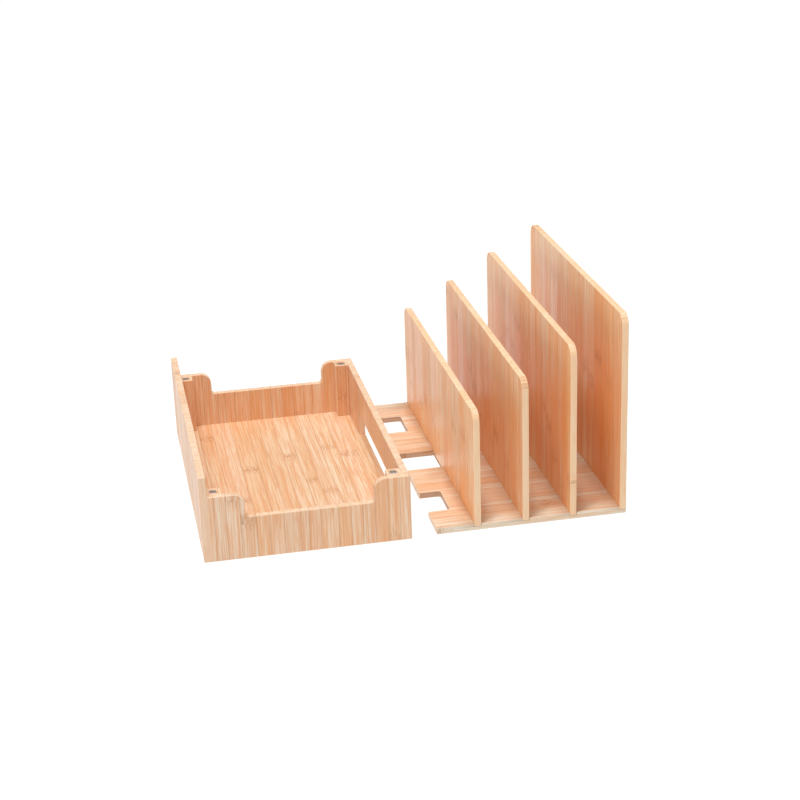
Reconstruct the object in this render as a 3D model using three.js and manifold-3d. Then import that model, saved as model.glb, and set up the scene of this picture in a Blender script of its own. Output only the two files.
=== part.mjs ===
// Bamboo desk file sorter made of two loose units, standing side by side on the desk.
// The tray is an open box for cables and small things, with one side wall taller than the rest.
// The sorter is a slab with four upright dividers that step up in height from left to right.
// The sorter can be lifted onto the tray, where steel discs under its slab meet magnets in the
// tray's corner posts. Millimetres, +X to the right, +Y to the back, +Z up.

import * as THREE from "three";
import { mergeVertices } from "three/addons/utils/BufferGeometryUtils.js";
import Module from "manifold-3d";

const wasm = await Module();
wasm.setup();

// Driving sizes.
const BOARD = 7; // every board is cut from the same bamboo sheet
const TRAY_WIDTH = 210;
const TRAY_DEPTH = 350;
const WALL_HEIGHT = 70; // seat height for the sorter
const FENCE_HEIGHT = 92; // the taller left wall
const LOW_EDGE_HEIGHT = 45; // dipped middle of the front and rear walls
const SHOULDER_LENGTH = 37; // full-height part at each end of those walls
const SHOULDER_RADIUS = 12;
const DIP_FILLET = 4;
const CABLE_SLOT_END = 84; // solid wall left at each end of the cable slot
const CABLE_SLOT_TOP = 35;
const POST_SIDE = 15;
const MAGNET_RADIUS = 4;
const MAGNET_HEIGHT = 3;
const MAGNET_SINK = 0.3; // top of the magnet below the top of the post
const DISC_HEIGHT = 2;
const POCKET_PLAY = 0.15; // gap round a disc or magnet in its pocket
const SEAT_PLAY = 1.5; // the sorter's slab is this much inside the tray's seat all round
const UNITS_GAP = 26; // desk shown between the two units
const GROOVE_DEPTH = 3; // dividers are let into the slab
const GROOVE_PLAY = 0.1;
const DIVIDERS = [
  { name: "divider_1", left: 39.5, height: 129 },
  { name: "divider_2", left: 90, height: 158 },
  { name: "divider_3", left: 140, height: 188 },
  { name: "divider_4", left: 193, height: 216 },
];
const DIVIDER_RADIUS = 13;
const NOTCH_LENGTH = 47;
const NOTCH_PITCH = 108.5;
const OUTER_NOTCH_DEPTH = 23;
const NOTCH_RADIUS = 3;
const ROUND_SEGMENTS = 32; // sides of each round pocket and disc
const ARC_SEGMENTS = 8; // facets in each quarter round

// Sizes that follow from those above.
const INNER_RIGHT = TRAY_WIDTH - BOARD;
const INNER_REAR = TRAY_DEPTH - BOARD;
const SLAB_WIDTH = TRAY_WIDTH - BOARD - 2 * SEAT_PLAY;
const SLAB_DEPTH = TRAY_DEPTH - 2 * SEAT_PLAY;
const POST_CENTRES = [
  { name: "front_left", x: BOARD + POST_SIDE / 2, y: BOARD + POST_SIDE / 2 },
  { name: "front_right", x: INNER_RIGHT - POST_SIDE / 2, y: BOARD + POST_SIDE / 2 },
  { name: "rear_left", x: BOARD + POST_SIDE / 2, y: INNER_REAR - POST_SIDE / 2 },
  { name: "rear_right", x: INNER_RIGHT - POST_SIDE / 2, y: INNER_REAR - POST_SIDE / 2 },
];

const X_AXIS = new THREE.Vector3(1, 0, 0);
const Y_AXIS = new THREE.Vector3(0, 1, 0);
const Z_AXIS = new THREE.Vector3(0, 0, 1);

function bamboo(name, colour) {
  return new THREE.MeshStandardMaterial({ name, color: colour, roughness: 0.55, metalness: 0 });
}

function paleBamboo() {
  return bamboo("bamboo_pale", 0xe2bd94);
}

function warmBamboo() {
  return bamboo("bamboo_warm", 0xd9a982);
}

function nickel() {
  return new THREE.MeshStandardMaterial({
    name: "nickel",
    color: 0xc9c8c4,
    roughness: 0.25,
    metalness: 1,
  });
}

function toSolid(geometry) {
  const bare = geometry.clone();
  bare.deleteAttribute("normal");
  bare.deleteAttribute("uv");
  const merged = mergeVertices(bare, 1e-4);
  return new wasm.Manifold(
    new wasm.Mesh({
      numProp: 3,
      vertProperties: new Float32Array(merged.attributes.position.array),
      triVerts: new Uint32Array(merged.index.array),
    }),
  );
}

function toGeometry(solid) {
  const mesh = solid.getMesh();
  const geometry = new THREE.BufferGeometry();
  geometry.setAttribute("position", new THREE.BufferAttribute(mesh.vertProperties, 3));
  geometry.setIndex(new THREE.BufferAttribute(mesh.triVerts, 1));
  geometry.computeVertexNormals();
  return geometry;
}

// A box given by its lowest corner and its size.
function block(x, y, z, width, depth, height) {
  const geometry = new THREE.BoxGeometry(width, depth, height);
  geometry.translate(x + width / 2, y + depth / 2, z + height / 2);
  return geometry;
}

// A round disc standing on z, with its axis along Z.
function disc(x, y, z, radius, height) {
  const geometry = new THREE.CylinderGeometry(radius, radius, height, ROUND_SEGMENTS);
  geometry.rotateX(Math.PI / 2);
  geometry.translate(x, y, z + height / 2);
  return geometry;
}

function extrude(outline, thickness) {
  return new THREE.ExtrudeGeometry(outline, {
    depth: thickness,
    bevelEnabled: false,
    curveSegments: ARC_SEGMENTS,
  });
}

// Board whose outline is seen from the front (X, Z), filling y from front to front + BOARD.
function crosswiseBoard(outline, front) {
  const geometry = extrude(outline, BOARD);
  geometry.applyMatrix4(new THREE.Matrix4().makeBasis(X_AXIS, Z_AXIS, Y_AXIS.clone().negate()));
  geometry.translate(0, front + BOARD, 0);
  return geometry;
}

// Board whose outline is seen from the side (Y, Z), filling x from left to left + BOARD.
function lengthwiseBoard(outline, left) {
  const geometry = extrude(outline, BOARD);
  geometry.applyMatrix4(new THREE.Matrix4().makeBasis(Y_AXIS, Z_AXIS, X_AXIS));
  geometry.translate(left, 0, 0);
  return geometry;
}

function part(name, geometry, material) {
  const mesh = new THREE.Mesh(geometry, material);
  mesh.name = name;
  return mesh;
}

// Front and rear walls: high rounded shoulders with a dip between them, seen from the front.
function dippedWallOutline() {
  const dipLeft = BOARD + SHOULDER_LENGTH;
  const dipRight = TRAY_WIDTH - SHOULDER_LENGTH;
  const r = SHOULDER_RADIUS;
  const f = DIP_FILLET;
  const outline = new THREE.Shape();
  outline.moveTo(BOARD, 0);
  outline.lineTo(TRAY_WIDTH, 0);
  outline.lineTo(TRAY_WIDTH, WALL_HEIGHT);
  outline.lineTo(dipRight + r, WALL_HEIGHT);
  outline.absarc(dipRight + r, WALL_HEIGHT - r, r, Math.PI / 2, Math.PI, false);
  outline.lineTo(dipRight, LOW_EDGE_HEIGHT + f);
  outline.absarc(dipRight - f, LOW_EDGE_HEIGHT + f, f, 0, -Math.PI / 2, true);
  outline.lineTo(dipLeft + f, LOW_EDGE_HEIGHT);
  outline.absarc(dipLeft + f, LOW_EDGE_HEIGHT + f, f, -Math.PI / 2, -Math.PI, true);
  outline.lineTo(dipLeft, WALL_HEIGHT - r);
  outline.absarc(dipLeft - r, WALL_HEIGHT - r, r, 0, Math.PI / 2, false);
  outline.lineTo(BOARD, WALL_HEIGHT);
  outline.closePath();
  return outline;
}

// Right wall, standing on the floor board, with the cable slot open along its foot.
function rightWallOutline() {
  const slotRear = TRAY_DEPTH - CABLE_SLOT_END;
  const outline = new THREE.Shape();
  outline.moveTo(BOARD, BOARD);
  outline.lineTo(CABLE_SLOT_END, BOARD);
  outline.lineTo(CABLE_SLOT_END, CABLE_SLOT_TOP);
  outline.lineTo(slotRear, CABLE_SLOT_TOP);
  outline.lineTo(slotRear, BOARD);
  outline.lineTo(INNER_REAR, BOARD);
  outline.lineTo(INNER_REAR, WALL_HEIGHT);
  outline.lineTo(BOARD, WALL_HEIGHT);
  outline.closePath();
  return outline;
}

function leftWall() {
  const geometry = block(0, 0, 0, BOARD, TRAY_DEPTH, FENCE_HEIGHT);
  return part("tray_left_wall", geometry, warmBamboo());
}

function trayFloor() {
  const width = TRAY_WIDTH - BOARD;
  const depth = INNER_REAR - BOARD;
  return part("tray_floor", block(BOARD, BOARD, 0, width, depth, BOARD), paleBamboo());
}

function cornerPost(centre) {
  const x = centre.x - POST_SIDE / 2;
  const y = centre.y - POST_SIDE / 2;
  const column = block(x, y, BOARD, POST_SIDE, POST_SIDE, WALL_HEIGHT - BOARD);
  const pocketDepth = MAGNET_SINK + MAGNET_HEIGHT;
  const pocket = disc(
    centre.x,
    centre.y,
    WALL_HEIGHT - pocketDepth,
    MAGNET_RADIUS + POCKET_PLAY,
    pocketDepth + 1,
  );
  const geometry = toGeometry(toSolid(column).subtract(toSolid(pocket)));
  return part(`post_${centre.name}`, geometry, warmBamboo());
}

function postMagnet(centre) {
  const bottom = WALL_HEIGHT - MAGNET_SINK - MAGNET_HEIGHT;
  const geometry = disc(centre.x, centre.y, bottom, MAGNET_RADIUS, MAGNET_HEIGHT);
  return part(`magnet_${centre.name}`, geometry, nickel());
}

function tray() {
  const unit = new THREE.Group();
  unit.name = "tray";
  unit.add(trayFloor());
  unit.add(leftWall());
  unit.add(part("tray_right_wall", lengthwiseBoard(rightWallOutline(), INNER_RIGHT), warmBamboo()));
  unit.add(part("tray_front_wall", crosswiseBoard(dippedWallOutline(), 0), warmBamboo()));
  unit.add(part("tray_rear_wall", crosswiseBoard(dippedWallOutline(), INNER_REAR), warmBamboo()));
  for (const centre of POST_CENTRES) {
    unit.add(cornerPost(centre));
    unit.add(postMagnet(centre));
  }
  return unit;
}

// One notch in the slab's left edge, walked from the rear towards the front.
function addNotch(outline, centre, depth, radius) {
  const rear = centre + NOTCH_LENGTH / 2;
  const front = centre - NOTCH_LENGTH / 2;
  outline.lineTo(0, rear);
  if (radius > 0) {
    outline.lineTo(depth - radius, rear);
    outline.absarc(depth - radius, rear - radius, radius, Math.PI / 2, 0, true);
    outline.lineTo(depth, front + radius);
    outline.absarc(depth - radius, front + radius, radius, 0, -Math.PI / 2, true);
  } else {
    outline.lineTo(depth, rear);
    outline.lineTo(depth, front);
  }
  outline.lineTo(0, front);
}

// Slab seen from above: three notches along the left edge let cables pass.
function slabOutline() {
  const middle = SLAB_DEPTH / 2;
  const outline = new THREE.Shape();
  outline.moveTo(0, 0);
  outline.lineTo(SLAB_WIDTH, 0);
  outline.lineTo(SLAB_WIDTH, SLAB_DEPTH);
  outline.lineTo(0, SLAB_DEPTH);
  addNotch(outline, middle + NOTCH_PITCH, OUTER_NOTCH_DEPTH, NOTCH_RADIUS);
  addNotch(outline, middle, DIVIDERS[0].left - GROOVE_PLAY, 0);
  addNotch(outline, middle - NOTCH_PITCH, OUTER_NOTCH_DEPTH, NOTCH_RADIUS);
  outline.closePath();
  return outline;
}

// Where the steel discs sit in the slab: over the tray's magnets when the sorter is seated.
function discCentres() {
  const seatX = BOARD + SEAT_PLAY;
  const seatY = SEAT_PLAY;
  return POST_CENTRES.map(({ name, x, y }) => ({ name, x: x - seatX, y: y - seatY }));
}

function slab() {
  let solid = toSolid(extrude(slabOutline(), BOARD));
  for (const { left } of DIVIDERS) {
    const groove = block(
      left - GROOVE_PLAY,
      -1,
      BOARD - GROOVE_DEPTH,
      BOARD + 2 * GROOVE_PLAY,
      SLAB_DEPTH + 2,
      GROOVE_DEPTH + 1,
    );
    solid = solid.subtract(toSolid(groove));
  }
  for (const { x, y } of discCentres()) {
    const pocket = disc(x, y, -1, MAGNET_RADIUS + POCKET_PLAY, DISC_HEIGHT + MAGNET_SINK + 1);
    solid = solid.subtract(toSolid(pocket));
  }
  return part("sorter_slab", toGeometry(solid), warmBamboo());
}

function slabDisc(centre) {
  const geometry = disc(centre.x, centre.y, MAGNET_SINK, MAGNET_RADIUS, DISC_HEIGHT);
  return part(`steel_disc_${centre.name}`, geometry, nickel());
}

// Divider seen from the side, with both top corners rounded.
function dividerOutline(height) {
  const bottom = BOARD - GROOVE_DEPTH;
  const r = DIVIDER_RADIUS;
  const outline = new THREE.Shape();
  outline.moveTo(0, bottom);
  outline.lineTo(SLAB_DEPTH, bottom);
  outline.lineTo(SLAB_DEPTH, height - r);
  outline.absarc(SLAB_DEPTH - r, height - r, r, 0, Math.PI / 2, false);
  outline.lineTo(r, height);
  outline.absarc(r, height - r, r, Math.PI / 2, Math.PI, false);
  outline.closePath();
  return outline;
}

function divider({ name, left, height }) {
  return part(name, lengthwiseBoard(dividerOutline(height), left), warmBamboo());
}

function sorter() {
  const unit = new THREE.Group();
  unit.name = "sorter";
  unit.add(slab());
  for (const each of DIVIDERS) unit.add(divider(each));
  for (const centre of discCentres()) unit.add(slabDisc(centre));
  return unit;
}

const trayUnit = tray();
const sorterUnit = sorter();
sorterUnit.position.set(TRAY_WIDTH + UNITS_GAP, TRAY_DEPTH - SLAB_DEPTH, 0);

// The origin is on the desk, below the middle of the two units' common outline.
const object = new THREE.Group();
object.name = "desk_file_sorter";
object.position.set(-(TRAY_WIDTH + UNITS_GAP + SLAB_WIDTH) / 2, -TRAY_DEPTH / 2, 0);
object.add(trayUnit);
object.add(sorterUnit);

export default object;
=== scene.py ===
"""Looks of the bamboo desk file sorter: bevelled boards, laminated bamboo, magnets, stage and light."""

import math  # noqa: E402

import bmesh  # noqa: E402
import bpy  # noqa: E402
from mathutils import Matrix, Vector  # noqa: E402


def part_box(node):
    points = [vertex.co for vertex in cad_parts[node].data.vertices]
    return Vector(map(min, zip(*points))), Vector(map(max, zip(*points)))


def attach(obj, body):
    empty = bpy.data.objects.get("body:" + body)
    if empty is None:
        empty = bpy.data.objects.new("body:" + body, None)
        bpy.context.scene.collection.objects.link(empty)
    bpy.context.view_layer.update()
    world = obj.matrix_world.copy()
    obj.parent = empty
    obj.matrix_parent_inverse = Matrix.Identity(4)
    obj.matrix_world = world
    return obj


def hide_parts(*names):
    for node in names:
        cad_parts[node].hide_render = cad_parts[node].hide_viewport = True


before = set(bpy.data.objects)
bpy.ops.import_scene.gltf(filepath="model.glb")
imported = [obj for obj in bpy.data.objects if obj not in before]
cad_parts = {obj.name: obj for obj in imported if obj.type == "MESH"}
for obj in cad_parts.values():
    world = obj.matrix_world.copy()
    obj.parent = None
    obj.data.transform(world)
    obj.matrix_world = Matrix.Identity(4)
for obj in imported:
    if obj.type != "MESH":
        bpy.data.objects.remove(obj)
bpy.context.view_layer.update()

MM = 0.001
X, Y, Z = 0, 1, 2
LOW, HIGH = 0, 1

# Outlines, as in the CAD.
BOARD = 7 * MM
SHOULDER_LENGTH = 37 * MM
SHOULDER_RADIUS = 12 * MM
DIP_DEPTH = 25 * MM
DIP_FILLET = 4 * MM
CABLE_SLOT_END = 84 * MM  # from the tray's front and rear faces
CABLE_SLOT_HEIGHT = 28 * MM
DIVIDER_RADIUS = 13 * MM
NOTCH_LENGTH = 47 * MM
NOTCH_PITCH = 108.5 * MM
OUTER_NOTCH_DEPTH = 23 * MM
NOTCH_RADIUS = 3 * MM
GROOVE_DEPTH = 3 * MM
GROOVE_PLAY = 0.1 * MM
POCKET_PLAY = 0.15 * MM
MAGNET_CHAMFER = 0.7 * MM
DISC_CHAMFER = 0.3 * MM

# How finely the pieces are shaped.
EASED_EDGE = 0.8 * MM  # radius sanded on every free edge
GLUED_EDGE = 0.12  # share of that radius left where boards meet
EDGE_SEGMENTS = 3
ARC_STEPS = 14
ROUND_STEPS = 48
SHARP_ANGLE = math.radians(35)
UPRIGHT_LEAN = 0.5  # the most that the normal of an upright face rises or falls
SAME_PLANE = 0.01 * MM
SAME_POINT = 0.0001 * MM

CORNERS = ("front_left", "front_right", "rear_left", "rear_right")
DIVIDERS = ("divider_1", "divider_2", "divider_3", "divider_4")


# ---------------------------------------------------------------- outlines


def arc(centre, radius, start, end):
    """Points of an arc, from the start angle to the end angle, both in degrees."""
    points = []
    for step in range(ARC_STEPS + 1):
        angle = math.radians(start + (end - start) * step / ARC_STEPS)
        points.append((centre[0] + radius * math.cos(angle), centre[1] + radius * math.sin(angle)))
    return points


def rectangle(low, high):
    """The outline of a plain board."""
    return [(low[0], low[1]), (high[0], low[1]), (high[0], high[1]), (low[0], high[1])]


def dipped_outline(low, high):
    """A wall with rounded shoulders and a dip between them."""
    left, right, top = low[0], high[0], high[1]
    floor = top - DIP_DEPTH
    dip_left = left + SHOULDER_LENGTH
    dip_right = right - SHOULDER_LENGTH
    return [
        (left, low[1]),
        (right, low[1]),
        (right, top),
        *arc((dip_right + SHOULDER_RADIUS, top - SHOULDER_RADIUS), SHOULDER_RADIUS, 90, 180),
        *arc((dip_right - DIP_FILLET, floor + DIP_FILLET), DIP_FILLET, 0, -90),
        *arc((dip_left + DIP_FILLET, floor + DIP_FILLET), DIP_FILLET, -90, -180),
        *arc((dip_left - SHOULDER_RADIUS, top - SHOULDER_RADIUS), SHOULDER_RADIUS, 0, 90),
        (left, top),
    ]


def slotted_outline(low, high):
    """A wall standing on the floor board, open along its foot."""
    reach = CABLE_SLOT_END - BOARD
    front, rear, slot_top = low[0] + reach, high[0] - reach, low[1] + CABLE_SLOT_HEIGHT
    return [
        low,
        (front, low[1]),
        (front, slot_top),
        (rear, slot_top),
        (rear, low[1]),
        (high[0], low[1]),
        high,
        (low[0], high[1]),
    ]


def divider_outline(low, high):
    """A divider with both top corners rounded."""
    r = DIVIDER_RADIUS
    return [
        low,
        (high[0], low[1]),
        *arc((high[0] - r, high[1] - r), r, 0, 90),
        *arc((low[0] + r, high[1] - r), r, 90, 180),
    ]


def notch(left, centre, depth, radius):
    """One notch in the slab's left edge, from its rear corner to its front corner."""
    rear, front, bottom = centre + NOTCH_LENGTH / 2, centre - NOTCH_LENGTH / 2, left + depth
    if radius == 0:
        return [(left, rear), (bottom, rear), (bottom, front), (left, front)]
    return [
        (left, rear),
        *arc((bottom - radius, rear - radius), radius, 90, 0),
        *arc((bottom - radius, front + radius), radius, 0, -90),
        (left, front),
    ]


def slab_outline(low, high):
    """The sorter's slab from above, with three notches in its left edge."""
    left, middle = low[0], (low[1] + high[1]) / 2
    inner_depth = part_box("divider_1")[0].x - GROOVE_PLAY - left
    return [
        low,
        (high[0], low[1]),
        high,
        (left, high[1]),
        *notch(left, middle + NOTCH_PITCH, OUTER_NOTCH_DEPTH, NOTCH_RADIUS),
        *notch(left, middle, inner_depth, 0),
        *notch(left, middle - NOTCH_PITCH, OUTER_NOTCH_DEPTH, NOTCH_RADIUS),
    ]


# ------------------------------------------------------------------ meshes


def add_object(name, data):
    """Puts a mesh, a lamp or a camera in the scene."""
    obj = bpy.data.objects.new(name, data)
    bpy.context.scene.collection.objects.link(obj)
    return obj


def finish_mesh(shape, name):
    """Turns a bmesh into a named object with smooth shading."""
    bmesh.ops.remove_doubles(shape, verts=shape.verts, dist=SAME_POINT)
    bmesh.ops.recalc_face_normals(shape, faces=shape.faces)
    mesh = bpy.data.meshes.new(name)
    shape.to_mesh(mesh)
    shape.free()
    mesh.shade_smooth()
    return add_object(name, mesh)


def prism(name, outline, normal, low, high):
    """The outline, drawn in the two axes left after normal, pulled along it from low to high."""
    u, v = [axis for axis in range(3) if axis != normal]
    shape = bmesh.new()
    rings = []
    for level in (low[normal], high[normal]):
        ring = []
        for first, second in outline:
            place = [0, 0, 0]
            place[u], place[v], place[normal] = first, second, level
            ring.append(shape.verts.new(place))
        rings.append(ring)
    for index in range(len(outline)):
        after = (index + 1) % len(outline)
        shape.faces.new((rings[0][index], rings[0][after], rings[1][after], rings[1][index]))
    shape.faces.new(rings[0])
    shape.faces.new(rings[1])
    return finish_mesh(shape, name)


def bake_modifiers(obj):
    """Makes what the modifiers show the object's own mesh."""
    graph = bpy.context.evaluated_depsgraph_get()
    mesh = bpy.data.meshes.new_from_object(obj.evaluated_get(graph))
    old = obj.data
    obj.modifiers.clear()
    obj.data = mesh
    bpy.data.meshes.remove(old)


def ease_edges(obj, glued):
    """Rounds the sharp outer edges, though hardly where they lie on a glued (axis, place) plane."""
    mesh = obj.data
    shape = bmesh.new()
    shape.from_mesh(mesh)
    weights = []
    for edge in shape.edges:
        sharp = edge.is_convex and edge.calc_face_angle() > SHARP_ANGLE
        on_glue = any(
            all(abs(vert.co[axis] - place) < SAME_PLANE for vert in edge.verts)
            for axis, place in glued
        )
        weights.append(0.0 if not sharp else GLUED_EDGE if on_glue else 1.0)
    shape.free()
    mesh.attributes.new("bevel_weight_edge", "FLOAT", "EDGE").data.foreach_set("value", weights)
    mesh.materials.append(None)
    mesh.materials.append(None)
    bevel = obj.modifiers.new("eased", "BEVEL")
    bevel.limit_method = "WEIGHT"
    bevel.width = EASED_EDGE
    bevel.segments = EDGE_SEGMENTS
    bevel.harden_normals = True
    bevel.material = 1
    bake_modifiers(obj)
    mark_eased_faces(obj.data)


def mark_eased_faces(mesh):
    """Keeps which faces are eased edges as an attribute that the material reads."""
    eased = [float(face.material_index) for face in mesh.polygons]
    mesh.attributes.new("eased", "FLOAT", "FACE").data.foreach_set("value", eased)
    for face in mesh.polygons:
        face.material_index = 0
    mesh.materials.clear()


def cut(obj, cutters):
    """Takes the cutters away from the object, and removes them."""
    for cutter in cutters:
        difference = obj.modifiers.new("cut", "BOOLEAN")
        difference.operation = "DIFFERENCE"
        difference.solver = "EXACT"
        difference.object = cutter
    bake_modifiers(obj)
    for cutter in cutters:
        bpy.data.objects.remove(cutter)


def round_points(centre, radius):
    """Points of a circle, from above."""
    turns = [2 * math.pi * step / ROUND_STEPS for step in range(ROUND_STEPS)]
    return [(centre.x + radius * math.cos(turn), centre.y + radius * math.sin(turn)) for turn in turns]


def drum(name, centre, radius, low, high):
    """A plain round cutter from z = low to z = high."""
    return prism(name, round_points(centre, radius), Z, (0, 0, low), (0, 0, high))


def lathe(name, centre, profile):
    """Turns a profile of (radius, height) points about an upright axis; both ends lie on it."""
    shape = bmesh.new()
    rings = []
    for radius, height in profile:
        places = round_points(centre, radius) if radius > 0 else [(centre.x, centre.y)]
        rings.append([shape.verts.new((x, y, height)) for x, y in places])
    for lower, upper in zip(rings, rings[1:]):
        for step in range(ROUND_STEPS):
            after = (step + 1) % ROUND_STEPS
            corners = [
                lower[step % len(lower)],
                lower[after % len(lower)],
                upper[after % len(upper)],
                upper[step % len(upper)],
            ]
            shape.faces.new(list(dict.fromkeys(corners)))
    return finish_mesh(shape, name)


# ------------------------------------------------------- shader node helpers

NOISE_ROUGHNESS = 0.55


def plug(tree, socket, value):
    """Links a socket to another, or sets it to a plain value."""
    if isinstance(value, bpy.types.NodeSocket):
        tree.links.new(value, socket)
    else:
        socket.default_value = value


def add_node(tree, kind, inputs=None, **settings):
    """A node with its settings made and its inputs plugged."""
    made = tree.nodes.new(kind)
    for name, value in settings.items():
        setattr(made, name, value)
    for name, value in (inputs or {}).items():
        plug(tree, made.inputs[name], value)
    return made


def calc(tree, operation, *values, clamp=False):
    """The result of one Math node."""
    made = add_node(tree, "ShaderNodeMath", operation=operation, use_clamp=clamp)
    for index, value in enumerate(values):
        plug(tree, made.inputs[index], value)
    return made.outputs[0]


def scale_by(tree, value, factor):
    """The value times a factor."""
    return calc(tree, "MULTIPLY", value, factor)


def about_zero(tree, value):
    """Moves a noise, which lies about a half, so that it lies about zero."""
    return calc(tree, "SUBTRACT", value, 0.5)


def rescale(tree, value, old_low, old_high, low, high):
    """Maps a value from one range to another, easing in and out, and holding it at the ends."""
    inputs = {"From Min": old_low, "From Max": old_high, "To Min": low, "To Max": high}
    made = add_node(tree, "ShaderNodeMapRange", inputs, interpolation_type="SMOOTHSTEP")
    plug(tree, made.inputs["Value"], value)
    return made.outputs["Result"]


def blend_colours(tree, factor, first, second):
    """Mixes two colours; the Mix node's sockets share their names, so they go by number."""
    made = add_node(tree, "ShaderNodeMix", data_type="RGBA")
    plug(tree, made.inputs[0], factor)
    plug(tree, made.inputs[6], first)
    plug(tree, made.inputs[7], second)
    return made.outputs[2]


def tint(tree, colour, mark, share, towards):
    """Pulls a colour towards another where the mark is, by that share at most."""
    return blend_colours(tree, scale_by(tree, mark, share), colour, towards)


def make_place(tree, x, y, z):
    """A vector of three values."""
    return add_node(tree, "ShaderNodeCombineXYZ", {"X": x, "Y": y, "Z": z}).outputs[0]


def noise(tree, place, scale, detail, distortion=0.0):
    """A noise between zero and one."""
    inputs = {
        "Vector": place,
        "Scale": scale,
        "Detail": detail,
        "Roughness": NOISE_ROUGHNESS,
        "Distortion": distortion,
    }
    return add_node(tree, "ShaderNodeTexNoise", inputs).outputs["Fac"]


# ----------------------------------------------------------------- bamboo

# Lengths are in board millimetres. A ramp holds the input from which a mark fades in or out,
# the input at which it has, and its strength before and after.
STRIP_RANDOMNESS = 0.8
STRIP_JUMP = 91.0  # how far apart strips lie in the noises, so that none repeats another

RING_SPACING = 250.0
RING_SHUFFLE = 7.0  # spreads the strips' rings over the whole spacing
RING_LOTS = 13.0  # draws a second random number from a strip's first
RING_STRENGTH = (0.1, 0.7, 0.15, 1.0)
RING_BAND = (1.0, 14.0)  # how far from a ring its band starts to fade, and has faded
RING_LINE = (0.3, 1.6)
RING_WANDER = 14.0  # how far a ring wanders along the board, in all
RING_WANDER_SCALE = 0.45
RING_BLOT = (1.7, 8.0)  # width and length
RING_BLOTS = (0.46, 0.56, 0.0, 1.0)
BLOT_DISTORTION = 0.8

# Fibres sway where they pass a ring, and drift slowly everywhere.
SWAY = 9.0
SWAY_SCALE = 0.20
DRIFT = 3.0
DRIFT_SCALE = 0.009
DRIFT_WIDTH = 9.0

# Fibres, as their pitch across the strips and their length; the broad ones' pitch is a share of
# the strip.
BROAD_PITCH_SHARE = 0.30
BROAD_LENGTH = 160.0
MEDIUM_FIBRES = (1.5, 70.0)
FINE_FIBRES = (0.9, 36.0)
BUNDLES = (2.2, 24.0)
STREAKS = {
    "broad": (0.50, 0.60, 0.0, 0.32),
    "medium": (0.51, 0.56, 0.0, 0.54),
    "fine": (0.50, 0.57, 0.0, 0.40),
}
BUNDLE_DOTS = (0.15, 0.42, 1.0, 0.0)
GLUE_LINE = (0.10, 0.55, 0.38, 0.0)

TONE_SHARE = 0.9
TONE_SPREAD = 1.8
DARK_STRIPS = (0.45, 1.0, 0.0, 0.62)
ASH_STRIPS = (0.55, 1.0, 0.0, 0.60)

# The most that each mark pulls the colour.
SIDE_SHARE = 0.55
BUNDLE_SHARE = 0.20
PORE_SHARE = 0.36
BLOT_SHARE = 0.42
BAND_SHARE = 0.20
LINE_SHARE = 0.12
EASED_SHARE = 0.40
# painted shade: how far the slab's notch, groove and pocket sides are pulled towards brown
RECESS_SHADE_SHARE = 0.65

FINE_ROUGHNESS = (0.3, 0.7, 0.26, 0.40)
STRIP_ROUGHNESS = 0.26
END_ROUGHNESS = 0.14
EASED_ROUGHNESS = 0.06

FINE_HEIGHT = 0.35
BUNDLE_DEPTH = 0.3
RING_HEIGHT = 0.5
STRIP_CROWN = (0.0, 9.0, 0.0, 0.6)
BUMP_STRENGTH = 0.35
BUMP_HEIGHT = 0.25 * MM

# How much of a face's normal lies through the board on its sides, and along it on end grain.
SIDE_FACES = (0.1, 0.5, 1.0, 0.0)
END_FACES = (0.5, 0.9, 0.0, 1.0)

LACQUER_SPECULAR = 0.40
LACQUER_COAT = 0.20
LACQUER_ROUGHNESS = 0.33

BROWN = (0.36, 0.13, 0.04, 1)
ASH = (0.88, 0.72, 0.55, 1)

# A timber: how wide its strips are, and its light, warm and dark tones.
FLOOR_TIMBER = (17.0, (0.91, 0.73, 0.51, 1), (0.89, 0.59, 0.35, 1), (0.76, 0.35, 0.14, 1))
WALL_TIMBER = (13.0, (0.96, 0.73, 0.53, 1), (0.94, 0.61, 0.36, 1), (0.84, 0.38, 0.16, 1))
SLAB_TIMBER = (15.0, (0.88, 0.79, 0.64, 1), (0.86, 0.66, 0.47, 1), (0.80, 0.43, 0.21, 1))
DIVIDER_TIMBER = (21.0, (0.98, 0.76, 0.52, 1), (0.98, 0.61, 0.30, 1), (0.92, 0.38, 0.10, 1))

# Where the boards start in the row of random strips, so that no two are alike.
TRAY_SEED, TRAY_SEED_STEP = 1.3, 3.7
POST_SEED, POST_SEED_STEP = 41.2, 5.3
SLAB_SEED = 71.9
DIVIDER_SEED, DIVIDER_SEED_STEP = 90.4, 6.1


def strips(tree, across, seed, width):
    """Three random numbers for the glued strip a point is in, and how far the next glue line is."""
    place = calc(tree, "ADD", calc(tree, "DIVIDE", across, width), seed)
    shared = {"W": place, "Scale": 1.0, "Randomness": STRIP_RANDOMNESS}
    kind = "ShaderNodeTexVoronoi"
    cell = add_node(tree, kind, voronoi_dimensions="1D")
    edge = add_node(tree, kind, voronoi_dimensions="1D", feature="DISTANCE_TO_EDGE")
    for voronoi in (cell, edge):
        for socket, value in shared.items():
            plug(tree, voronoi.inputs[socket], value)
    chances = add_node(tree, "ShaderNodeSeparateColor", {"Color": cell.outputs["Color"]}).outputs
    distance = scale_by(tree, edge.outputs["Distance"], width)
    return tuple(chances[:3]), distance


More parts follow.
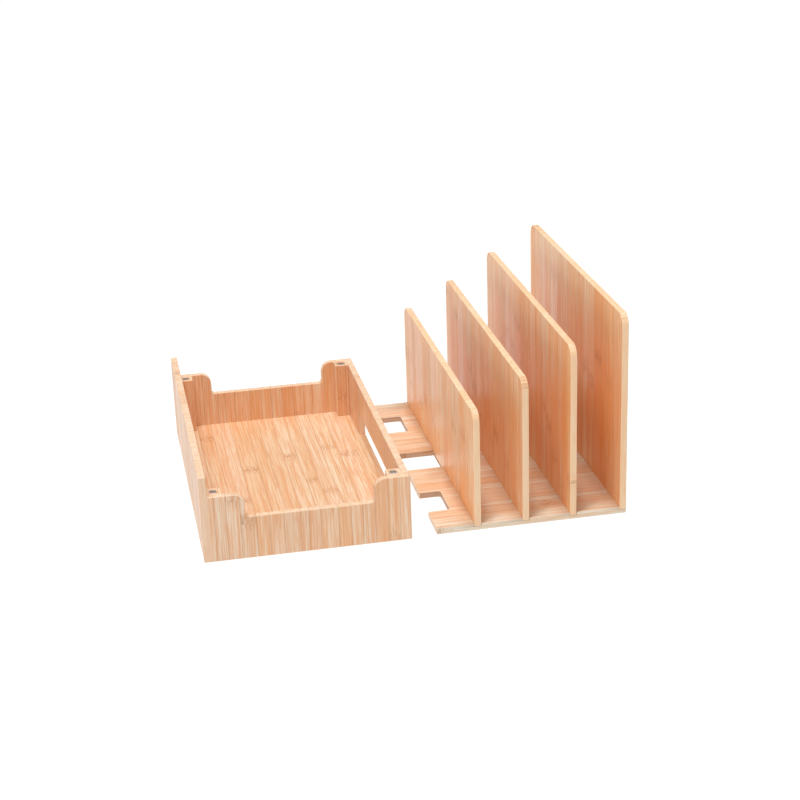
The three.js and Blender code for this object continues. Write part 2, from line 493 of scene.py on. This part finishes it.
def rings_of_the_cane(tree, along, across, chance):
    """How near a point is to a ring where the cane grew a joint: the broad band, and the line."""
    wander = noise(tree, make_place(tree, across, 0.0, chance), RING_WANDER_SCALE, 2.0)
    shift = scale_by(tree, about_zero(tree, wander), RING_WANDER)
    turns = calc(tree, "DIVIDE", calc(tree, "ADD", along, shift), RING_SPACING)
    turns = calc(tree, "ADD", turns, scale_by(tree, chance, RING_SHUFFLE))
    off_ring = calc(tree, "ABSOLUTE", about_zero(tree, calc(tree, "FRACT", turns)))
    distance = scale_by(tree, off_ring, RING_SPACING)
    lot = calc(tree, "FRACT", scale_by(tree, chance, RING_LOTS))
    strength = rescale(tree, lot, *RING_STRENGTH)
    band = rescale(tree, distance, *RING_BAND, strength, 0.0)
    line = rescale(tree, distance, *RING_LINE, strength, 0.0)
    return band, line


def bent_fibres(tree, across, along, jump, band):
    """The place across the board, so that fibres wander slowly and sway where they pass a ring."""
    ripple = noise(tree, make_place(tree, across, along, jump), SWAY_SCALE, 2.0)
    slow_place = make_place(tree, calc(tree, "DIVIDE", across, DRIFT_WIDTH), along, jump)
    slow = noise(tree, slow_place, DRIFT_SCALE, 1.0)
    sway = calc(tree, "MULTIPLY", about_zero(tree, ripple), scale_by(tree, band, SWAY))
    drift = scale_by(tree, about_zero(tree, slow), DRIFT)
    return calc(tree, "ADD", across, calc(tree, "ADD", sway, drift))


def fibre_place(tree, where, pitch, length):
    """A place measured so that a round blob of noise becomes a fibre of that pitch and length."""
    across, through, along, shift = where
    return make_place(
        tree,
        calc(tree, "DIVIDE", across, pitch),
        calc(tree, "DIVIDE", through, pitch),
        calc(tree, "ADD", calc(tree, "DIVIDE", along, length), shift),
    )


def fibres(tree, where, pitch, length):
    """Noise drawn out along the strips."""
    return noise(tree, fibre_place(tree, where, pitch, length), 1.0, 2.0)


def fibre_bundles(tree, where):
    """The dark dots of fibre bundles, drawn out along the strips."""
    place = fibre_place(tree, where, *BUNDLES)
    cells = add_node(tree, "ShaderNodeTexVoronoi", {"Vector": place, "Scale": 1.0})
    return rescale(tree, cells.outputs["Distance"], *BUNDLE_DOTS)


def ring_blots(tree, across, along, jump):
    """The blots that speckle the band round a ring."""
    width, length = RING_BLOT
    scaled = calc(tree, "DIVIDE", across, width), calc(tree, "DIVIDE", along, length)
    blots = noise(tree, make_place(tree, *scaled, jump), 1.0, 3.0, BLOT_DISTORTION)
    return rescale(tree, blots, *RING_BLOTS)


def bamboo_marks(tree, given):
    """Everything that shows on a board: strips, glue lines, rings, fibres and their bundles."""
    along = given["Along"]
    chances, to_glue = strips(tree, given["Across"], given["Seed"], given["Strip"])
    band, line = rings_of_the_cane(tree, along, given["Across"], chances[2])
    jump = scale_by(tree, chances[2], STRIP_JUMP)
    bent = bent_fibres(tree, given["Across"], along, jump, band)
    where = (bent, given["Through"], along, jump)
    broad_pitch = scale_by(tree, given["Strip"], BROAD_PITCH_SHARE)
    return {
        "chances": chances,
        "broad": fibres(tree, where, broad_pitch, BROAD_LENGTH),
        "medium": fibres(tree, where, *MEDIUM_FIBRES),
        "fine": fibres(tree, where, *FINE_FIBRES),
        "bundle": fibre_bundles(tree, where),
        "to_glue": to_glue,
        "glue": rescale(tree, to_glue, *GLUE_LINE),
        "band": band,
        "line": line,
        "blots": ring_blots(tree, bent, along, jump),
    }


def strip_colour(tree, given, marks):
    """Every strip was split from another cane, so it keeps a tone of its own."""
    tone, hue, chance = marks["chances"]
    spread = scale_by(tree, about_zero(tree, marks["broad"]), TONE_SPREAD)
    warmth = calc(tree, "ADD", scale_by(tree, tone, TONE_SHARE), spread, clamp=True)
    colour = blend_colours(tree, warmth, given["Light"], given["Warm"])
    colour = blend_colours(tree, rescale(tree, hue, *DARK_STRIPS), colour, given["Dark"])
    return blend_colours(tree, rescale(tree, chance, *ASH_STRIPS), colour, ASH)


def ring_colour(tree, colour, marks, dark):
    """Darkens the speckled band round a ring of the cane, and its thin line."""
    speckle = calc(tree, "MULTIPLY", marks["blots"], marks["band"])
    colour = tint(tree, colour, speckle, BLOT_SHARE, BROWN)
    colour = tint(tree, colour, marks["band"], BAND_SHARE, dark)
    return tint(tree, colour, marks["line"], LINE_SHARE, BROWN)


def bamboo_colour(tree, given, marks):
    """Strips, darkened by their streaks, bundles, pores, rings and glue, and paler at the edges."""
    light, dark = given["Light"], given["Dark"]
    colour = strip_colour(tree, given, marks)
    for kind, ramp in STREAKS.items():
        colour = blend_colours(tree, rescale(tree, marks[kind], *ramp), colour, dark)
    colour = tint(tree, colour, given["Side"], SIDE_SHARE, light)
    colour = tint(tree, colour, marks["bundle"], BUNDLE_SHARE, dark)
    pores = calc(tree, "MULTIPLY", marks["bundle"], scale_by(tree, given["End"], PORE_SHARE))
    colour = blend_colours(tree, pores, colour, BROWN)
    colour = ring_colour(tree, colour, marks, dark)
    colour = blend_colours(tree, marks["glue"], colour, BROWN)
    colour = tint(tree, colour, given["Eased"], EASED_SHARE, light)
    # Painted shade: the slab's notch, groove and pocket sides are pulled towards brown.
    return tint(tree, colour, given["Recess_Shade"], RECESS_SHADE_SHARE, BROWN)


def bamboo_roughness(tree, given, marks):
    """Fibres, whole strips, end grain and sanded edges each take the lacquer differently."""
    rough = rescale(tree, marks["fine"], *FINE_ROUGHNESS)
    rough = calc(tree, "ADD", rough, scale_by(tree, marks["chances"][2], STRIP_ROUGHNESS))
    rough = calc(tree, "ADD", rough, scale_by(tree, given["End"], END_ROUGHNESS))
    return calc(tree, "ADD", rough, scale_by(tree, given["Eased"], EASED_ROUGHNESS))


def bamboo_height(tree, marks):
    """Fibres and rings stand up, bundles and glue lines sink, and strips rise from their glue."""
    fine = scale_by(tree, marks["fine"], FINE_HEIGHT)
    height = calc(tree, "SUBTRACT", fine, scale_by(tree, marks["bundle"], BUNDLE_DEPTH))
    height = calc(tree, "ADD", height, scale_by(tree, marks["line"], RING_HEIGHT))
    height = calc(tree, "ADD", height, rescale(tree, marks["to_glue"], *STRIP_CROWN))
    return calc(tree, "SUBTRACT", height, marks["glue"])


def group_sockets(tree):
    """Declares what the bamboo group takes and gives."""
    numbers = ("Across", "Through", "Along", "Side", "End", "Eased", "Recess_Shade", "Seed", "Strip")
    for name in numbers:
        tree.interface.new_socket(name=name, in_out="INPUT", socket_type="NodeSocketFloat")
    for name in ("Light", "Warm", "Dark"):
        tree.interface.new_socket(name=name, in_out="INPUT", socket_type="NodeSocketColor")
    tree.interface.new_socket(name="Color", in_out="OUTPUT", socket_type="NodeSocketColor")
    for name in ("Roughness", "Height"):
        tree.interface.new_socket(name=name, in_out="OUTPUT", socket_type="NodeSocketFloat")


def bamboo_group():
    """Colour, roughness and height of laminated bamboo, from a place in board millimetres."""
    tree = bpy.data.node_groups.new("laminated_bamboo", "ShaderNodeTree")
    group_sockets(tree)
    given = tree.nodes.new("NodeGroupInput").outputs
    marks = bamboo_marks(tree, given)
    out = tree.nodes.new("NodeGroupOutput").inputs
    plug(tree, out["Color"], bamboo_colour(tree, given, marks))
    plug(tree, out["Roughness"], bamboo_roughness(tree, given, marks))
    plug(tree, out["Height"], bamboo_height(tree, marks))
    return tree


BAMBOO = bamboo_group()


def board_inputs(tree, grain):
    """What the bamboo group has to know about a point, measured along the board's grain axes."""
    where = tree.nodes.new("ShaderNodeTexCoord").outputs
    place = add_node(tree, "ShaderNodeSeparateXYZ", {"Vector": where["Object"]}).outputs
    facing = add_node(tree, "ShaderNodeSeparateXYZ", {"Vector": where["Normal"]}).outputs
    across, through, along = ["XYZ".index(axis) for axis in grain]
    eased = add_node(tree, "ShaderNodeAttribute", attribute_name="eased").outputs["Fac"]
    # The slab's recess faces, which take painted shade.
    recess_shade = add_node(tree, "ShaderNodeAttribute", attribute_name="recess_shade").outputs["Fac"]
    return {
        "Across": calc(tree, "DIVIDE", place[across], MM),
        "Through": calc(tree, "DIVIDE", place[through], MM),
        "Along": calc(tree, "DIVIDE", place[along], MM),
        "Side": rescale(tree, calc(tree, "ABSOLUTE", facing[through]), *SIDE_FACES),
        "End": rescale(tree, calc(tree, "ABSOLUTE", facing[along]), *END_FACES),
        "Eased": eased,
        "Recess_Shade": recess_shade,
    }


def bamboo(name, grain, seed, timber):
    """Laminated bamboo; grain names the axes across the strips, through the board and along."""
    material = bpy.data.materials.new(name)
    material.use_nodes = True
    tree = material.node_tree
    strip, light, warm, dark = timber
    inputs = board_inputs(tree, grain)
    inputs.update({"Seed": seed, "Strip": strip, "Light": light, "Warm": warm, "Dark": dark})
    board = add_node(tree, "ShaderNodeGroup", node_tree=BAMBOO)
    for socket, value in inputs.items():
        plug(tree, board.inputs[socket], value)
    bump_inputs = {
        "Strength": BUMP_STRENGTH,
        "Distance": BUMP_HEIGHT,
        "Height": board.outputs["Height"],
    }
    bump = add_node(tree, "ShaderNodeBump", bump_inputs)
    shader = tree.nodes["Principled BSDF"]
    shader.inputs["Specular IOR Level"].default_value = LACQUER_SPECULAR
    shader.inputs["Coat Weight"].default_value = LACQUER_COAT
    shader.inputs["Coat Roughness"].default_value = LACQUER_ROUGHNESS
    plug(tree, shader.inputs["Base Color"], board.outputs["Color"])
    plug(tree, shader.inputs["Roughness"], board.outputs["Roughness"])
    plug(tree, shader.inputs["Normal"], bump.outputs["Normal"])
    return material


# ------------------------------------------------------------------ metal

NICKEL = (0.66, 0.65, 0.64, 1)
NICKEL_ROUGHNESS = 0.18
STEEL = (0.60, 0.60, 0.60, 1)
STEEL_ROUGHNESS = 0.3
WORN_SHARE = 0.55  # how bright the worn spots are, beside the plating
MOTTLE = (0.35, 0.65, 0.0, 1.0)
MOTTLE_SCALE = 900.0  # per metre, as is the scratches'
SCRATCHES = (0.3, 0.7)
SCRATCH_SCALE = (9000.0, 700.0, 700.0)
SCRATCH_ROUGHNESS = 0.18  # what a scratch adds
SCRATCH_DEPTH = 0.05 * MM
SCRATCH_STRENGTH = 0.15


def metal(name, colour, dull):
    """Plated metal, a little mottled and finely scratched."""
    material = bpy.data.materials.new(name)
    material.use_nodes = True
    tree = material.node_tree
    where = tree.nodes.new("ShaderNodeTexCoord").outputs["Object"]
    shade = rescale(tree, noise(tree, where, MOTTLE_SCALE, 3.0), *MOTTLE)
    stretched = add_node(tree, "ShaderNodeMapping", {"Vector": where, "Scale": SCRATCH_SCALE})
    scratches = noise(tree, stretched.outputs[0], 1.0, 2.0)
    rough = rescale(tree, scratches, *SCRATCHES, dull, dull + SCRATCH_ROUGHNESS)
    worn = tuple(WORN_SHARE * channel for channel in colour[:3]) + (1,)
    bump_inputs = {"Strength": SCRATCH_STRENGTH, "Distance": SCRATCH_DEPTH, "Height": scratches}
    bump = add_node(tree, "ShaderNodeBump", bump_inputs)
    shader = tree.nodes["Principled BSDF"]
    shader.inputs["Metallic"].default_value = 1.0
    plug(tree, shader.inputs["Base Color"], blend_colours(tree, shade, colour, worn))
    plug(tree, shader.inputs["Roughness"], rough)
    plug(tree, shader.inputs["Normal"], bump.outputs["Normal"])
    return material


# ----------------------------------------------------------------- pieces


def dress(obj, node, body, material):
    """Gives a finished piece its material and body, and hides the CAD node it stands for."""
    obj.data.materials.clear()
    obj.data.materials.append(material)
    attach(obj, body)
    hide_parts(node)


def board_piece(node, outline_of, normal, glued=()):
    """A board in the place of a CAD node; outline_of draws it in the axes left after normal."""
    low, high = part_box(node)
    u, v = [axis for axis in range(3) if axis != normal]
    outline = outline_of((low[u], low[v]), (high[u], high[v]))
    obj = prism(node + "_board", outline, normal, low, high)
    planes = [(axis, (low, high)[end][axis]) for axis, end in glued]
    ease_edges(obj, planes)
    return obj


def tray_boards():
    """Each tray board: node, outline, thin axis, glued faces, grain axes, slot and timber."""
    floor_glue = ((X, LOW), (Y, LOW), (Y, HIGH))
    right_glue = ((Y, LOW), (Y, HIGH), (Z, LOW))
    left_end = ((X, LOW),)
    warm = "bamboo_warm"
    yield "tray_floor", rectangle, Z, floor_glue, "XZY", "bamboo_pale", FLOOR_TIMBER
    yield "tray_left_wall", rectangle, X, ((X, HIGH),), "YXZ", warm, WALL_TIMBER
    yield "tray_right_wall", slotted_outline, X, right_glue, "YXZ", warm, WALL_TIMBER
    yield "tray_front_wall", dipped_outline, Y, left_end, "XYZ", warm, WALL_TIMBER
    yield "tray_rear_wall", dipped_outline, Y, left_end, "XYZ", warm, WALL_TIMBER


def build_tray():
    """The tray's boards, and its four posts with their magnets."""
    for step, (node, outline_of, normal, glued, grain, slot, timber) in enumerate(tray_boards()):
        obj = board_piece(node, outline_of, normal, glued)
        seed = TRAY_SEED + TRAY_SEED_STEP * step
        dress(obj, node, "tray", bamboo(node + "_bamboo", grain, seed, timber))
    nickel = metal("magnet_nickel", NICKEL, NICKEL_ROUGHNESS)
    for step, corner in enumerate(CORNERS):
        post = post_piece(corner)
        seed = POST_SEED + POST_SEED_STEP * step
        material = bamboo(f"post_{corner}_bamboo", "XYZ", seed, WALL_TIMBER)
        dress(post, f"post_{corner}", "tray", material)
        magnet = disc_piece(f"magnet_{corner}", MAGNET_CHAMFER)
        dress(magnet, f"magnet_{corner}", "tray", nickel)


def post_piece(corner):
    """A corner post with the pocket of its magnet."""
    obj = board_piece(f"post_{corner}", rectangle, Z)
    low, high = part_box(f"magnet_{corner}")
    centre = (low + high) / 2
    radius = (high.x - low.x) / 2 + POCKET_PLAY
    cut(obj, [drum("pocket", centre, radius, low.z, high.z + BOARD)])
    return obj


def disc_piece(node, chamfer):
    """A disc with both rims chamfered."""
    low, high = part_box(node)
    radius = (high.x - low.x) / 2
    profile = [
        (0, low.z),
        (radius - chamfer, low.z),
        (radius, low.z + chamfer),
        (radius, high.z - chamfer),
        (radius - chamfer, high.z),
        (0, high.z),
    ]
    return lathe(node + "_disc", (low + high) / 2, profile)


def slab_piece():
    """The slab with its notches, the dividers' grooves and the discs' pockets."""
    obj = board_piece("sorter_slab", slab_outline, Z)
    low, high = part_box("sorter_slab")
    cutters = []
    for node in DIVIDERS:
        left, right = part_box(node)
        foot = left.x - GROOVE_PLAY, high.z - GROOVE_DEPTH
        groove = rectangle(foot, (right.x + GROOVE_PLAY, high.z + BOARD))
        cutters.append(prism("groove", groove, Y, (0, low.y - BOARD, 0), (0, high.y + BOARD, 0)))
    for corner in CORNERS:
        disc_low, disc_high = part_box(f"steel_disc_{corner}")
        centre = (disc_low + disc_high) / 2
        radius = (disc_high.x - disc_low.x) / 2 + POCKET_PLAY
        cutters.append(drum("pocket", centre, radius, low.z - BOARD, disc_high.z))
    cut(obj, cutters)
    # The recess faces are darkened with painted shade in the material.
    mark_shaded_recess_faces(obj.data, low, high)
    return obj


def mark_shaded_recess_faces(mesh, low, high):
    """Keeps which upright faces lie inside the outer edges, which the material darkens towards brown as
    painted shade.
    """
    margin = 2 * EASED_EDGE
    recess_shade = []
    for face in mesh.polygons:
        place = face.center
        inside = all(low[axis] + margin < place[axis] < high[axis] - margin for axis in (X, Y))
        recess_shade.append(float(inside and abs(face.normal.z) < UPRIGHT_LEAN))
    mesh.attributes.new("recess_shade", "FLOAT", "FACE").data.foreach_set("value", recess_shade)


def build_sorter():
    """The slab with its dividers, and the steel discs in its underside."""
    material = bamboo("slab_bamboo", "YZX", SLAB_SEED, SLAB_TIMBER)
    dress(slab_piece(), "sorter_slab", "sorter", material)
    for step, node in enumerate(DIVIDERS):
        obj = board_piece(node, divider_outline, X)
        seed = DIVIDER_SEED + DIVIDER_SEED_STEP * step
        material = bamboo(node + "_bamboo", "YXZ", seed, DIVIDER_TIMBER)
        dress(obj, node, "sorter", material)
    steel = metal("disc_steel", STEEL, STEEL_ROUGHNESS)
    for corner in CORNERS:
        obj = disc_piece(f"steel_disc_{corner}", DISC_CHAMFER)
        dress(obj, f"steel_disc_{corner}", "sorter", steel)


# ------------------------------------------------------------ stage, light

# In metres, watts and degrees, but for the camera's lens and sensor.
WHITE = (1, 1, 1, 1)
WORLD_GLOW = 0.42

FLOOR_HALF = 40.0  # so wide that its edge never shows above the object
FLOOR_LEVEL = -0.2 * MM
FLOOR_COLOUR = (0.2, 0.2, 0.2, 1)
FLOOR_ROUGHNESS = 0.9
FLOOR_GLOW = 0.90

KEY_PLACE = Vector((-0.30, -0.25, 2.2))
KEY_WIDTH = 0.5
KEY_LENGTH = 1.6
KEY_POWER = 38.0

CAMERA_PLACE = Vector((-0.3063, -1.7391, 0.7840))
CAMERA_HEADING = 10.52  # degrees to the right of +Y
CAMERA_TILT = -21.67
CAMERA_ROLL = -1.96
CAMERA_LENS = 78.85  # in millimetres, as is the width of the sensor
CAMERA_SENSOR = 36.0
CAMERA_REACH = (0.1, 100.0)  # the nearest and farthest that it sees


def build_floor():
    """A wide white sheet under the object, which glows like a lit table."""
    mesh = bpy.data.meshes.new("stage_floor")
    quarters = ((-1, -1), (1, -1), (1, 1), (-1, 1))
    corners = [(x * FLOOR_HALF, y * FLOOR_HALF, FLOOR_LEVEL) for x, y in quarters]
    mesh.from_pydata(corners, [], [(0, 1, 2, 3)])
    floor = add_object("stage_floor", mesh)
    material = bpy.data.materials.new("stage_white")
    material.use_nodes = True
    shader = material.node_tree.nodes["Principled BSDF"]
    shader.inputs["Base Color"].default_value = FLOOR_COLOUR
    shader.inputs["Roughness"].default_value = FLOOR_ROUGHNESS
    shader.inputs["Emission Color"].default_value = WHITE
    shader.inputs["Emission Strength"].default_value = FLOOR_GLOW
    mesh.materials.append(material)


def build_world():
    """An even white room."""
    world = bpy.data.worlds.new("studio")
    world.use_nodes = True
    backdrop = world.node_tree.nodes["Background"]
    backdrop.inputs["Color"].default_value = WHITE
    backdrop.inputs["Strength"].default_value = WORLD_GLOW
    bpy.context.scene.world = world


def build_key_light():
    """One long narrow lamp above the tray, aimed at the middle of the object."""
    data = bpy.data.lights.new("key", "AREA")
    data.shape = "RECTANGLE"
    data.size, data.size_y = KEY_WIDTH, KEY_LENGTH
    data.energy = KEY_POWER
    lamp = add_object("key", data)
    lamp.location = KEY_PLACE
    lamp.rotation_euler = (-KEY_PLACE).to_track_quat("-Z", "Y").to_euler()


def build_camera():
    """The camera, turned, then tilted, then rolled."""
    data = bpy.data.cameras.new("camera")
    data.sensor_width = CAMERA_SENSOR
    data.lens = CAMERA_LENS
    data.clip_start, data.clip_end = CAMERA_REACH
    camera = add_object("camera", data)
    turn = Matrix.Rotation(-math.radians(CAMERA_HEADING), 3, "Z")
    tilt = Matrix.Rotation(math.radians(90 + CAMERA_TILT), 3, "X")
    roll = Matrix.Rotation(math.radians(CAMERA_ROLL), 3, "Z")
    camera.matrix_world = Matrix.LocRotScale(CAMERA_PLACE, turn @ tilt @ roll, None)
    bpy.context.scene.camera = camera


build_tray()
build_sorter()
build_floor()
build_world()
build_key_light()
build_camera()
bpy.context.scene.view_settings.view_transform = "Standard"
